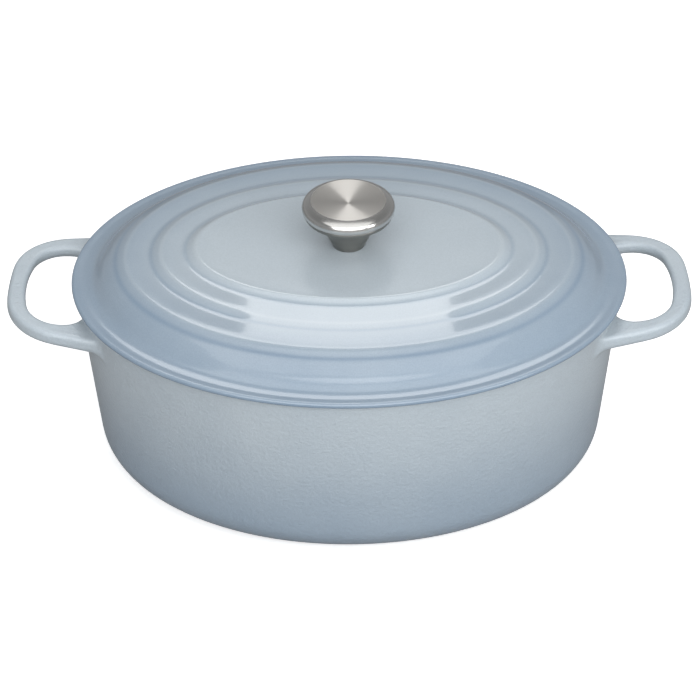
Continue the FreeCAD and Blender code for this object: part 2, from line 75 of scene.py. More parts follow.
def oval(half_length, half_width, z):
    """A level row of points round an oval, starting on +X."""
    turn = np.arange(COLUMNS) * 2 * math.pi / COLUMNS
    return np.stack([half_length * np.cos(turn), half_width * np.sin(turn), np.full(COLUMNS, z)], 1)


def outer_inset(z):
    return DRAFT * (RIM_HEIGHT - z)


def inner_inset(z):
    share = (z - BASE_THICKNESS) / (RIM_HEIGHT - BASE_THICKNESS)
    return outer_inset(z) + WALL_AT_BASE + share * (WALL_AT_RIM - WALL_AT_BASE)


def corner_arc(inset_at, radius, floor, steps):
    """Insets and heights round the corner between floor and wall, from the floor up."""
    lean = math.atan(DRAFT)
    centre = inset_at(floor + radius) + radius / math.cos(lean)
    angles = np.linspace(math.pi / 2, lean, steps)
    return [(centre - radius * math.cos(a), floor + radius - radius * math.sin(a)) for a in angles]


outer_corner = corner_arc(outer_inset, BASE_CORNER, 0, 11)
inner_corner = corner_arc(inner_inset, BASE_CORNER - WALL_AT_BASE, BASE_THICKNESS, 10)
recess_inset = outer_corner[0][0] + FOOT_BAND
root_low = BAR_LOW + RUN_IN_WALL * math.sin(BAR_TILT)
root_heights = np.linspace(root_low - BLEND, root_low + BAR_HEIGHT + BLEND, ROOT_ROWS + 1)
plain_heights = np.linspace(outer_corner[-1][1], root_heights[0], 12)[1:-1]
MIDDLE = RIM_WIDTH - 0.003          # the innermost row, closed across its short side

# from the middle of the underside out, up the wall, over the rim and down to the inner floor
pot_rows = [(inset, FOOT_RECESS) for inset in (MIDDLE, 0.088, 0.065, recess_inset + 0.0006)]
pot_rows += [(recess_inset, 0), (recess_inset - FOOT_BAND / 2, 0)] + outer_corner
pot_rows += [(outer_inset(z), z) for z in plain_heights]
root_row = len(pot_rows)
pot_rows += [(outer_inset(z), z) for z in root_heights]
pot_rows += [(0.00005, RIM_HEIGHT - RIM_EDGE), (RIM_EDGE * 0.3, RIM_HEIGHT - RIM_EDGE * 0.3)]
rim_row = len(pot_rows)
pot_rows += [(RIM_EDGE, RIM_HEIGHT), (WALL_AT_RIM / 2, RIM_HEIGHT), (WALL_AT_RIM - RIM_EDGE, RIM_HEIGHT)]
inside_row = len(pot_rows)
pot_rows += [(WALL_AT_RIM - RIM_EDGE * 0.3, RIM_HEIGHT - RIM_EDGE * 0.3)]
inside_heights = np.linspace(RIM_HEIGHT - RIM_EDGE, inner_corner[-1][1], 12)[:-1]
pot_rows += [(inner_inset(z), z) for z in inside_heights]
pot_rows += inner_corner[::-1]
pot_rows += [(inset, BASE_THICKNESS) for inset in (0.045, 0.065, 0.088, MIDDLE)]

pot_bm = bmesh.new()
pot_grid = [[pot_bm.verts.new(point) for point in oval(RIM_LENGTH - inset, RIM_WIDTH - inset, z)]
            for inset, z in pot_rows]


def root_column(end, arm, number):
    """The column of the grid that is number columns from the oval's end, on one of four arms."""
    return (number * arm if end > 0 else COLUMNS // 2 - number * arm) % COLUMNS


taken = {min(root_column(end, arm, n), root_column(end, arm, n + 1))
         for end in (1, -1) for arm in (1, -1) for n in range(ROOT_FIRST, ROOT_LAST)}


def join_rows(bm, low, high, finish, left_out=()):
    """Quads between two closed rows of points."""
    count = len(low)
    for column in range(count):
        if column not in left_out:
            beside = (column + 1) % count
            face = bm.faces.new((low[column], low[beside], high[beside], high[column]))
            face.material_index = finish


def close_across(bm, row, finish):
    """Close a flat oval with quads that run straight across its short side."""
    count = len(row)
    for column in range(count // 2):
        corners = [row[column], row[column + 1], row[-column - 1], row[-column % count]]
        face = bm.faces.new(list(dict.fromkeys(corners)))
        face.material_index = finish


for number, (low, high) in enumerate(zip(pot_grid, pot_grid[1:])):
    finish = 0 if number < rim_row - 1 else 1 if number < inside_row else 2
    is_root = root_row <= number < root_row + ROOT_ROWS
    join_rows(pot_bm, low, high, finish, taken if is_root else ())
close_across(pot_bm, pot_grid[0], 0)
close_across(pot_bm, pot_grid[-1], 2)


def where_at_wall(half, taper):
    """The point where the side of the bar meets the wall, at the height of the bar."""
    x = BAR_ROOT
    for _ in range(30):
        y = half - (x - BAR_ROOT) * math.tan(taper)
        x = WALL_LENGTH * math.sqrt(1 - (y / WALL_WIDTH) ** 2)
    return np.array([x, y])


def loop_end(half, taper, corner, reach, bow):
    """The centre of the loop's corner and the points round that corner and along the bowed end."""
    outward = np.array([math.sin(taper), math.cos(taper)])
    along = np.array([math.cos(taper), -math.sin(taper)])
    root = np.array([BAR_ROOT, half])
    bow_centre = np.array([reach - bow, 0])
    offset = outward * (outward @ root - corner) - bow_centre
    run = -offset @ along + math.sqrt((offset @ along) ** 2 - offset @ offset + (bow - corner) ** 2)
    centre = bow_centre + offset + run * along
    low = math.atan2(*(centre - bow_centre)[::-1])
    turns = np.linspace(math.pi / 2 - taper, low, 9)[1:]
    corner_run = [centre + corner * np.array([math.cos(a), math.sin(a)]) for a in turns]
    bow_run = [bow_centre + bow * np.array([math.cos(a), math.sin(a)])
               for a in np.linspace(low, 0, 6)[1:]]
    return centre, corner_run + bow_run


SIDE_STEPS = 6
bar_middle = root_low + BAR_HEIGHT / 2
WALL_LENGTH, WALL_WIDTH = RIM_LENGTH - outer_inset(bar_middle), RIM_WIDTH - outer_inset(bar_middle)
TAPER, LOOP_CORNER, LOOP_HALF, LOOP_BOW = math.radians(11), 0.034, 0.053, 0.21
outer_root = where_at_wall(LOOP_HALF, TAPER)
loop_centre, outer_line = loop_end(LOOP_HALF, TAPER, LOOP_CORNER, BAR_REACH, LOOP_BOW)
side_end = loop_centre + LOOP_CORNER * np.array([math.sin(TAPER), math.cos(TAPER)])
side_way = side_end - outer_root
side_start = outer_root + side_way * BLEND / np.linalg.norm(side_way)
side_run = [side_start + (side_end - side_start) * s for s in np.linspace(0, 1, SIDE_STEPS)]
outer_line = side_run + outer_line

# the finger opening has a large round corner at the wall too, where the bar widens into it
GRIP_ROOT, GRIP_HALF, GRIP_CORNER, GRIP_WALL_CORNER, GRIP_BOW = 0.141, 0.0352, 0.019, 0.012, 0.09
GRIP_BAR = 0.0093                   # width of the bar at the loop's end
grip_line = loop_end(GRIP_HALF, 0, GRIP_CORNER, BAR_REACH - GRIP_BAR, GRIP_BOW)[1]
wall_centre = np.array([GRIP_ROOT + GRIP_WALL_CORNER, GRIP_HALF - GRIP_WALL_CORNER])


def on_wall_corner(angle):
    return wall_centre + GRIP_WALL_CORNER * np.array([math.cos(angle), math.sin(angle)])


grip_line = [on_wall_corner(a) for a in np.radians(np.linspace(152, 90, SIDE_STEPS))] + grip_line
grip_root = on_wall_corner(math.radians(167))


def bar_section(inner, outer):
    """The bar cut across: a rounded rectangle from the inner to the outer outline, as a closed ring
    in the order low edge, outer side, top edge, inner side, turned up by the bar's tilt."""
    width = np.linalg.norm(outer - inner)
    edges = (GRIP_EDGE, UNDER_EDGE, TOP_EDGE, TOP_EDGE)     # inner low, outer low, outer top, inner top
    low_in, low_out, top_out, top_in = (edge * (1 - math.sqrt(0.5)) for edge in edges)
    across = np.linspace(0, 1, ROOT_LAST - ROOT_FIRST - 1)
    upward = np.linspace(0, 1, ROOT_ROWS - 1)
    ring = [(low_in, low_in)]
    ring += [(GRIP_EDGE + (width - GRIP_EDGE - UNDER_EDGE) * s, 0) for s in across]
    ring += [(width - low_out, low_out)]
    ring += [(width, UNDER_EDGE + (BAR_HEIGHT - UNDER_EDGE - TOP_EDGE) * s) for s in upward]
    ring += [(width - top_out, BAR_HEIGHT - top_out)]
    ring += [(width - TOP_EDGE - (width - 2 * TOP_EDGE) * s, BAR_HEIGHT) for s in across]
    ring += [(top_in, BAR_HEIGHT - top_in)]
    ring += [(0, BAR_HEIGHT - TOP_EDGE - (BAR_HEIGHT - GRIP_EDGE - TOP_EDGE) * s) for s in upward]
    heading = (outer - inner) / width
    rising, standing = math.sin(BAR_TILT), math.cos(BAR_TILT)
    section = []
    for u, v in ring:
        x, y = inner + heading * u
        section.append((BAR_ROOT + (x - BAR_ROOT) * standing - v * rising, y,
                        BAR_LOW + (x - BAR_ROOT) * rising + v * standing))
    return np.array(section)


def root_ring(end, arm):
    """The points of the wall's grid round the gap for one arm, in the same order."""
    rows = range(root_row, root_row + ROOT_ROWS + 1)
    near, far = (root_column(end, arm, n) for n in (ROOT_FIRST, ROOT_LAST))
    ring = [pot_grid[rows[0]][root_column(end, arm, n)] for n in range(ROOT_FIRST, ROOT_LAST + 1)]
    ring += [pot_grid[row][far] for row in rows[1:]]
    ring += [pot_grid[rows[-1]][root_column(end, arm, n)]
             for n in range(ROOT_LAST - 1, ROOT_FIRST - 1, -1)]
    ring += [pot_grid[row][near] for row in rows[-2:0:-1]]
    return ring


half_loop = [bar_section(inner, outer) for inner, outer in zip(grip_line, outer_line)]
at_wall = bar_section(grip_root, outer_root)
for end in (1, -1):
    rings = []
    for arm in (1, -1):
        mirror = np.array([end, arm, 1])
        root = root_ring(end, arm)
        root_points = np.array([vertex.co[:] for vertex in root])
        sideways = at_wall * mirror - root_points
        outward = (half_loop[0] - at_wall) * mirror
        flare = [root_points + sideways * math.sin(a) + outward * (1 - math.cos(a))
                 for a in np.radians((22, 45, 68))]
        steps = [[pot_bm.verts.new(point) for point in ring] for ring in flare]
        body = half_loop if arm > 0 else half_loop[:-1]
        steps += [[pot_bm.verts.new(point) for point in ring * mirror] for ring in body]
        rings.append([root] + steps)
    loop = rings[0] + rings[1][::-1]
    for low, high in zip(loop, loop[1:]):
        join_rows(pot_bm, low, high, 0)

bmesh.ops.recalc_face_normals(pot_bm, faces=pot_bm.faces)


def finish_piece(bm, name, materials, levels=1):
    """Turn a bmesh into a smooth-shaded object, subdivided as many times as levels says."""
    mesh = bpy.data.meshes.new(name)
    bm.to_mesh(mesh)
    bm.free()
    for polygon in mesh.polygons:
        polygon.use_smooth = True
    for material in materials:
        mesh.materials.append(material)
    piece = bpy.data.objects.new(name, mesh)
    bpy.context.scene.collection.objects.link(piece)
    if levels:
        rounding = piece.modifiers.new("rounding", "SUBSURF")
        rounding.levels = rounding.render_levels = levels
    return piece

# ------------------------------------------------------------------------------------------
# The glaze on the castings: vitreous enamel in a gradient, thin and pale on raised and upper
# parts and thicker and bluer where it ran and pooled; on the lid's steps the paler crests and
# darker feet are also painted highlight and painted shade. It is fused to the iron, so it is a
# finish and not a piece. The rim gets a dark matt coat and the inside a sand-coloured one.
SKY_PALE = (0.46, 0.52, 0.565, 1)
SKY_DEEP = (0.20, 0.275, 0.365, 1)
SAND = (0.66, 0.58, 0.45, 1)
RIM_COAT = (0.035, 0.036, 0.04, 1)


def node(tree, kind, at, **settings):
    """A shader node with its settings; a name that is a socket's sets that socket."""
    made = tree.nodes.new(kind)
    made.location = at
    for key, value in settings.items():
        if hasattr(made, key):
            setattr(made, key, value)
        else:
            made.inputs[key.replace("_", " ")].default_value = value
    return made


def new_group(name, inputs, outputs):
    """An empty node group with float inputs (name: value) and named outputs (name: type)."""
    group = bpy.data.node_groups.new(name, "ShaderNodeTree")
    for key, value in inputs.items():
        socket = group.interface.new_socket(key, in_out="INPUT", socket_type="NodeSocketFloat")
        socket.default_value = value
    for key, kind in outputs.items():
        group.interface.new_socket(key, in_out="OUTPUT", socket_type=kind)
    return group, node(group, "NodeGroupInput", (-900, 0)), node(group, "NodeGroupOutput", (700, 0))


glaze_group, given, result = new_group(
    "glaze_skin", {"Grain Size": 380.0, "Grain Height": 1.0, "Ripple Size": 70.0, "Ripple Height": 1.0},
    {"Height": "NodeSocketFloat", "Cloud": "NodeSocketFloat", "Fleck": "NodeSocketFloat"})
place = node(glaze_group, "ShaderNodeTexCoord", (-900, -300))
grain = node(glaze_group, "ShaderNodeTexNoise", (-600, 200), Detail=3.0, Roughness=0.55)
ripple = node(glaze_group, "ShaderNodeTexNoise", (-600, -50), Detail=2.0, Roughness=0.4)
cloud = node(glaze_group, "ShaderNodeTexNoise", (-600, -300), Scale=26.0, Detail=3.0)
fleck = node(glaze_group, "ShaderNodeTexNoise", (-600, -550), Scale=1500.0, Detail=1.0)
for texture in (grain, ripple, cloud, fleck):
    glaze_group.links.new(place.outputs["Object"], texture.inputs["Vector"])
glaze_group.links.new(given.outputs["Grain Size"], grain.inputs["Scale"])
glaze_group.links.new(given.outputs["Ripple Size"], ripple.inputs["Scale"])
grain_lift = node(glaze_group, "ShaderNodeMath", (-300, 200), operation="MULTIPLY")
ripple_lift = node(glaze_group, "ShaderNodeMath", (-300, -50), operation="MULTIPLY")
both = node(glaze_group, "ShaderNodeMath", (0, 100), operation="ADD")
glaze_group.links.new(grain.outputs["Fac"], grain_lift.inputs[0])
glaze_group.links.new(given.outputs["Grain Height"], grain_lift.inputs[1])
glaze_group.links.new(ripple.outputs["Fac"], ripple_lift.inputs[0])
glaze_group.links.new(given.outputs["Ripple Height"], ripple_lift.inputs[1])
glaze_group.links.new(grain_lift.outputs[0], both.inputs[0])
glaze_group.links.new(ripple_lift.outputs[0], both.inputs[1])
glaze_group.links.new(both.outputs[0], result.inputs["Height"])
glaze_group.links.new(cloud.outputs["Fac"], result.inputs["Cloud"])
glaze_group.links.new(fleck.outputs["Fac"], result.inputs["Fleck"])


def glaze(name, deep, pale, depth_from, roughness, coat, bump, **skin):
    """Enamel whose colour runs from deep to pale. depth_from builds the nodes that say how pale the
    colour is at each place (on the lid with painted highlight and shade in it) and returns their output."""
    material = bpy.data.materials.new(name)
    material.use_nodes = True
    tree = material.node_tree
    shader = tree.nodes["Principled BSDF"]
    shader.inputs["Roughness"].default_value = roughness
    shader.inputs["IOR"].default_value = 1.52
    shader.inputs["Coat Weight"].default_value = coat
    shader.inputs["Coat Roughness"].default_value = 0.06
    surface = node(tree, "ShaderNodeGroup", (-900, -200), node_tree=glaze_group)
    for key, value in skin.items():
        surface.inputs[key.replace("_", " ")].default_value = value
    tone = node(tree, "ShaderNodeMix", (-300, 200), data_type="RGBA")
    tone.inputs[6].default_value = deep
    tone.inputs[7].default_value = pale
    drift = node(tree, "ShaderNodeMapRange", (-600, -50))
    drift.inputs["From Min"].default_value, drift.inputs["From Max"].default_value = 0.3, 0.7
    drift.inputs["To Min"].default_value, drift.inputs["To Max"].default_value = -0.05, 0.05
    tree.links.new(surface.outputs["Cloud"], drift.inputs["Value"])
    together = node(tree, "ShaderNodeMath", (-450, 100), operation="ADD", use_clamp=True)
    tree.links.new(depth_from(tree), together.inputs[0])
    tree.links.new(drift.outputs["Result"], together.inputs[1])
    tree.links.new(together.outputs[0], tone.inputs[0])
    speck = node(tree, "ShaderNodeMix", (-100, 200), data_type="RGBA", blend_type="MULTIPLY")
    speck.inputs[0].default_value = 1
    shade = node(tree, "ShaderNodeMapRange", (-300, -50))
    shade.inputs["From Min"].default_value, shade.inputs["From Max"].default_value = 0.3, 0.7
    shade.inputs["To Min"].default_value, shade.inputs["To Max"].default_value = 0.96, 1.04
    tree.links.new(surface.outputs["Fleck"], shade.inputs["Value"])
    tree.links.new(tone.outputs[2], speck.inputs[6])
    tree.links.new(shade.outputs["Result"], speck.inputs[7])
    tree.links.new(speck.outputs[2], shader.inputs["Base Color"])
    relief = node(tree, "ShaderNodeBump", (-300, -350), Strength=1.0, Distance=bump)
    tree.links.new(surface.outputs["Height"], relief.inputs["Height"])
    tree.links.new(relief.outputs["Normal"], shader.inputs["Normal"])
    return material


def paler_upwards(low, high, least, most):
    """Depth of colour that thins from one height of the pot to another."""
    def build(tree):
        where = node(tree, "ShaderNodeTexCoord", (-1200, 300))
        split = node(tree, "ShaderNodeSeparateXYZ", (-1000, 300))
        spread = node(tree, "ShaderNodeMapRange", (-800, 300), interpolation_type="SMOOTHSTEP")
        tree.links.new(where.outputs["Object"], split.inputs[0])
        tree.links.new(split.outputs["Z"], spread.inputs["Value"])
        for key, value in (("From Min", low), ("From Max", high), ("To Min", least), ("To Max", most)):
            spread.inputs[key].default_value = value
        return spread.outputs["Result"]
    return build


pot_glaze = glaze("pot_glaze", SKY_DEEP, SKY_PALE, paler_upwards(0.0, 0.100, 0.25, 0.95),
                  0.30, 0.35, 0.00036, Grain_Size=480.0, Grain_Height=1.2,
                  Ripple_Size=60.0, Ripple_Height=0.9)
sand_glaze = glaze("sand_glaze", (0.60, 0.51, 0.38, 1), SAND, paler_upwards(0.0, 0.110, 0.4, 1.0),
                   0.16, 0.6, 0.0001, Grain_Size=500.0, Grain_Height=0.3,
                   Ripple_Size=60.0, Ripple_Height=0.8)
rim_coat = glaze("rim_coat", (0.02, 0.021, 0.024, 1), RIM_COAT, paler_upwards(0.0, 0.110, 0.4, 1.0),
                 0.5, 0.0, 0.0002, Grain_Size=900.0, Grain_Height=1.0,
                 Ripple_Size=90.0, Ripple_Height=0.5)

pot_casting = finish_piece(pot_bm, "pot_casting", [pot_glaze, rim_coat, sand_glaze])
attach(pot_casting, "pot")
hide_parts("pot")

# ------------------------------------------------------------------------------------------
# The lid: one iron casting, 3.7 mm thick. A rounded edge and a flat brim, then a shoulder up to
# three rings, each a soft step down from the flat middle; the middle ring stops short at the
# front. Below, a lip keeps the lid from sliding off the rim.
lid_low, lid_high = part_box("lid")
LID_LENGTH, LID_TOP = lid_high.x, lid_high.z
LIP_FOOT = lid_low.z
PLATE = 0.0037
LIP_OUTSIDE, LIP_WALL = LID_LENGTH - (RIM_LENGTH - WALL_AT_RIM - 0.0012), 0.0032
SCREW_HOLE = 0.0035
RING_GAP = 0.052                    # half length of the middle ring's gap at the front

# half length of each oval line on the lid, and its half width
LINE_LENGTHS = np.array([0, 3.5, 84.5, 102.7, 121.8, 131.5, 137.5, 148.5]) / 1000
LINE_WIDTHS = np.array([0, 3.5, 51.5, 69.7, 90.0, 100.5, 107.3, 117.0]) / 1000
# height above the rim along those lines, by half length
LID_LINE = np.array([
    (3.5, 20.0), (60, 19.95), (78, 19.85), (81.0, 19.9), (82.5, 19.6), (86.5, 17.9), (89.0, 17.6),
    (96.5, 17.7), (99.5, 17.6), (101.0, 17.3), (104.8, 15.8), (107, 15.5),
    (115.5, 15.6), (118.6, 15.5), (120.0, 15.2), (123.6, 13.5), (125.6, 12.7), (128.0, 11.3),
    (131.5, 8.6), (134.4, 5.6), (136.2, 4.0), (137.5, 3.3), (140.0, 2.9), (143.0, 2.7),
    (145.6, 2.9), (148.5, 2.9)]) / 1000
# the same without the middle ring's step, for the gap at the front
GAP_LINE = np.array([row for row in LID_LINE if not 0.090 < row[0] < 0.110])


def cast_line(line, at, softness):
    """Height of a line of straight runs, with its corners softened as sand and glaze leave them."""
    fine = np.arange(-0.01, 0.17, 0.0001)
    height = np.interp(fine, line[:, 0], line[:, 1])
    reach = np.arange(-3 * softness, 3 * softness, 0.0001)
    weight = np.exp(-(reach / softness) ** 2 / 2)
    spare = len(reach) // 2
    padded = np.pad(height, spare, mode="edge")
    softened = np.convolve(padded, weight / weight.sum(), mode="same")[spare:-spare]
    return np.interp(at, fine, softened)


turn = np.arange(COLUMNS) * 2 * math.pi / COLUMNS


def lid_row(length, height):
    """A row of points on the lid whose height may change round the oval."""
    width = np.interp(length, LINE_LENGTHS, LINE_WIDTHS)
    return np.stack([length * np.cos(turn), width * np.sin(turn), RIM_HEIGHT + height], 1)


def in_gap(length):
    """How far each point of an oval line lies in the middle ring's gap at the front, from 0 to 1."""
    inwards = np.clip((RING_GAP + 0.008 - np.abs(length * np.cos(turn))) / 0.016, 0, 1)
    return inwards * inwards * (3 - 2 * inwards) * (np.sin(turn) < 0)


def top_height(length):
    """Height of the lid's top along one oval line, with the middle ring left out at the front."""
    ringed, plain = (cast_line(line, length, 0.0005) for line in (LID_LINE, GAP_LINE))
    return ringed + (plain - ringed) * in_gap(length)


edge = 0.0011                       # rounding of the lid's outer edge
EDGE_HEIGHT = 2.9e-3
top_lengths = np.concatenate([np.arange(LID_LENGTH - edge, 0.078, -0.0008),
                              np.linspace(0.077, 0.0060, 12), [SCREW_HOLE + 0.0007]])
lid_rows = [lid_row(LID_LENGTH - edge * 0.3, np.full(COLUMNS, EDGE_HEIGHT - edge * 0.3))]
lid_rows += [lid_row(length, top_height(length)) for length in top_lengths]
top_rows = len(lid_rows)

under_line = LID_LINE - np.array([0.0018, PLATE])
under_line = np.concatenate([under_line[under_line[:, 1] > 0.0003], [[0.1349, 0.0], [0.16, 0.0]]])
lip_inside = LIP_OUTSIDE + LIP_WALL
under_lengths = np.concatenate([[SCREW_HOLE + 0.0007, 0.006, 0.010, 0.02, 0.032, 0.045, 0.06],
                                np.arange(0.070, LID_LENGTH - lip_inside - 0.0006, 0.0021)])
lid_rows += [lid_row(SCREW_HOLE, np.full(COLUMNS, LID_TOP - RIM_HEIGHT - 0.0007)),
             lid_row(SCREW_HOLE, np.full(COLUMNS, LID_TOP - RIM_HEIGHT - PLATE + 0.0007))]
lid_rows += [lid_row(length, np.full(COLUMNS, cast_line(under_line, length, 0.0014)))
             for length in under_lengths]
lip_drop = LIP_FOOT - RIM_HEIGHT
lip_line = [(lip_inside, 0.0), (lip_inside - 0.0002, -0.0006), (lip_inside - 0.0004, lip_drop + 0.0008),
            (lip_inside - 0.001, lip_drop), (LIP_OUTSIDE + 0.001, lip_drop),
            (LIP_OUTSIDE + 0.0004, lip_drop + 0.0008), (LIP_OUTSIDE + 0.0002, -0.0006),
            (LIP_OUTSIDE, 0.0), (LIP_OUTSIDE / 2, 0.0), (edge, 0.0), (edge * 0.3, edge * 0.3),
            (0, edge), (0, EDGE_HEIGHT - edge)]
lid_rows += [lid_row(LID_LENGTH - inset, np.full(COLUMNS, height)) for inset, height in lip_line]

lid_bm = bmesh.new()
depth_and_light = lid_bm.verts.layers.float.new("glaze_depth_and_painted_light")
lid_grid = [[lid_bm.verts.new(point) for point in row] for row in lid_rows]
edge_rows = len(lid_rows) - 5       # the land that rests on the rim ends here
for number, (low, high) in enumerate(zip(lid_grid, lid_grid[1:] + lid_grid[:1])):
    join_rows(lid_bm, low, high, 0 if number < top_rows or number >= edge_rows + 1 else 1)
bmesh.ops.recalc_face_normals(lid_bm, faces=lid_bm.faces)

# the coat is palest in the middle; each step's crest is paler, partly thin glaze and partly painted
# highlight, and each step's foot darker, partly thicker glaze and partly painted shade
PALE_LINE = np.array([(0, 1.0), (70, 1.0), (82, 0.94), (90, 0.78), (100, 0.70), (112, 0.50), (121, 0.42),
                      (128, 0.32), (137.5, 0.28), (148.5, 0.20)]) * (0.001, 1)
STEP_FEET, STEP_CRESTS = (0.0872, 0.1055, 0.1245), (0.0818, 0.1002, 0.1192)
for row, points in zip(lid_rows[:top_rows], lid_grid[:top_rows]):
    length = row[0][0]
    pale = np.interp(length, PALE_LINE[:, 0], PALE_LINE[:, 1])
    # step feet darkened (partly thicker glaze, partly painted shade), crests lightened (partly thin
    # glaze, partly painted highlight)
    pale -= sum(0.24 * math.exp(-((length - foot) / 0.0013) ** 2) for foot in STEP_FEET)
    pale += sum(0.16 * math.exp(-((length - crest) / 0.0011) ** 2) for crest in STEP_CRESTS)
    # a broad paler band where the middle ring is left out at the front: painted reflection of the bright
    # surround
    painted_front_reflection = 0.10 * math.exp(-((length - 0.103) / 0.010) ** 2)
    for vertex, near in zip(points, in_gap(length)):
        vertex[depth_and_light] = pale + painted_front_reflection * near
for points in lid_grid[top_rows:]:
    for vertex in points:
        vertex[depth_and_light] = 0.06


# the lid's colour depth holds the glaze's own gradient and also painted highlight, shade and reflection
def by_depth_and_light(tree):
    return node(tree, "ShaderNodeAttribute", (-800, 300), attribute_name="glaze_depth_and_painted_light").outputs["Fac"]


lid_glaze = glaze("lid_glaze", SKY_DEEP, SKY_PALE, by_depth_and_light, 0.20, 0.6, 0.00012,
                  Grain_Size=500.0, Grain_Height=0.35, Ripple_Size=55.0, Ripple_Height=1.0)
lid_casting = finish_piece(lid_bm, "lid_casting", [lid_glaze, sand_glaze])
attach(lid_casting, "lid")
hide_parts("lid")

# ------------------------------------------------------------------------------------------
# The knob's cap: stainless sheet pressed to a shallow dish and turned on a lathe, so fine
# rings run round it, then polished on the bevel and on the band below the bevel.
cap_low, cap_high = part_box("knob_cap")
KNOB_RADIUS = cap_high.x
HEAD_LOW, WIDEST_LINE = cap_low.z, cap_low.z + 0.0021
BEVEL_RADIUS, BEVEL_FOOT = 0.0234, cap_high.z - 0.0018     # where the bevel meets the polished band
DISH_RADIUS, DISH_DEPTH, KNOB_SHEET = 0.0195, 0.0022, 0.0016

turning_group, given, result = new_group(
    "turning_marks", {"Pitch": 2600.0, "Depth": 1.0, "Smear": 20.0},
    {"Height": "NodeSocketFloat", "Tone": "NodeSocketFloat"})
place = node(turning_group, "ShaderNodeTexCoord", (-900, -200))
split = node(turning_group, "ShaderNodeSeparateXYZ", (-700, -200))
turning_group.links.new(place.outputs["Object"], split.inputs[0])
squares = []
for axis in ("X", "Y"):
    square = node(turning_group, "ShaderNodeMath", (-550, -200), operation="POWER")
    square.inputs[1].default_value = 2
    turning_group.links.new(split.outputs[axis], square.inputs[0])
    squares.append(square)
total = node(turning_group, "ShaderNodeMath", (-400, -200), operation="ADD")
radius = node(turning_group, "ShaderNodeMath", (-250, -200), operation="SQRT")
for number, square in enumerate(squares):
    turning_group.links.new(square.outputs[0], total.inputs[number])
turning_group.links.new(total.outputs[0], radius.inputs[0])
along = node(turning_group, "ShaderNodeCombineXYZ", (-100, -200))
turning_group.links.new(radius.outputs[0], along.inputs["X"])
turning_group.links.new(split.outputs["Z"], along.inputs["Z"])
lines = node(turning_group, "ShaderNodeTexNoise", (100, 100), Detail=4.0, Roughness=0.6)
turning_group.links.new(along.outputs[0], lines.inputs["Vector"])
turning_group.links.new(given.outputs["Pitch"], lines.inputs["Scale"])
smear = node(turning_group, "ShaderNodeTexNoise", (100, -200), Detail=2.0)
turning_group.links.new(place.outputs["Object"], smear.inputs["Vector"])
turning_group.links.new(given.outputs["Smear"], smear.inputs["Scale"])
lift = node(turning_group, "ShaderNodeMath", (350, 100), operation="MULTIPLY")
turning_group.links.new(lines.outputs["Fac"], lift.inputs[0])
turning_group.links.new(given.outputs["Depth"], lift.inputs[1])
turning_group.links.new(lift.outputs[0], result.inputs["Height"])
turning_group.links.new(smear.outputs["Fac"], result.inputs["Tone"])


def turned_metal(name, colour, least_rough, most_rough, stretch, bump, **marks):
    """Bare metal with a lathe's rings in it. stretch draws its highlights out across the rings."""
    material = bpy.data.materials.new(name)
    material.use_nodes = True
    tree = material.node_tree
    shader = tree.nodes["Principled BSDF"]
    shader.inputs["Metallic"].default_value = 1
    shader.inputs["Anisotropic"].default_value = stretch
    shader.inputs["Anisotropic Rotation"].default_value = 0.25      # across the rings
    surface = node(tree, "ShaderNodeGroup", (-900, 0), node_tree=turning_group)
    for key, value in marks.items():
        surface.inputs[key].default_value = value
    rough = node(tree, "ShaderNodeMapRange", (-500, 0))
    rough.inputs["To Min"].default_value, rough.inputs["To Max"].default_value = least_rough, most_rough
    tree.links.new(surface.outputs["Tone"], rough.inputs["Value"])
    tree.links.new(rough.outputs["Result"], shader.inputs["Roughness"])
    tint = node(tree, "ShaderNodeMix", (-300, 250), data_type="RGBA")
    tint.inputs[6].default_value = (*[part * 0.9 for part in colour], 1)
    tint.inputs[7].default_value = (*colour, 1)
    tree.links.new(surface.outputs["Height"], tint.inputs[0])
    tree.links.new(tint.outputs[2], shader.inputs["Base Color"])
    relief = node(tree, "ShaderNodeBump", (-300, -250), Strength=1.0, Distance=bump)
    tree.links.new(surface.outputs["Height"], relief.inputs["Height"])
    tree.links.new(relief.outputs["Normal"], shader.inputs["Normal"])
    if stretch:
        grain_way = node(tree, "ShaderNodeTangent", (-300, -500), direction_type="RADIAL", axis="Z")
        tree.links.new(grain_way.outputs["Tangent"], shader.inputs["Tangent"])
    return material


def arc_between(start, finish, bulge, steps):
    """Points on an arc from start to finish, without start; bulge is how far it stands off the chord,
    to the right of the way it goes."""
    start, finish = np.array(start), np.array(finish)
    chord = finish - start
    span = np.linalg.norm(chord)
    right = np.array([chord[1], -chord[0]]) / span
    radius = (span ** 2 / 4 + bulge ** 2) / (2 * bulge)
    centre = (start + finish) / 2 + right * (bulge - radius)
    first = math.atan2(*(start - centre)[::-1])
    sweep = 2 * math.asin(span / 2 / radius)
    return [tuple(centre + abs(radius) * np.array([math.cos(a), math.sin(a)]))
            for a in first + np.linspace(0, sweep, steps + 1)[1:]]


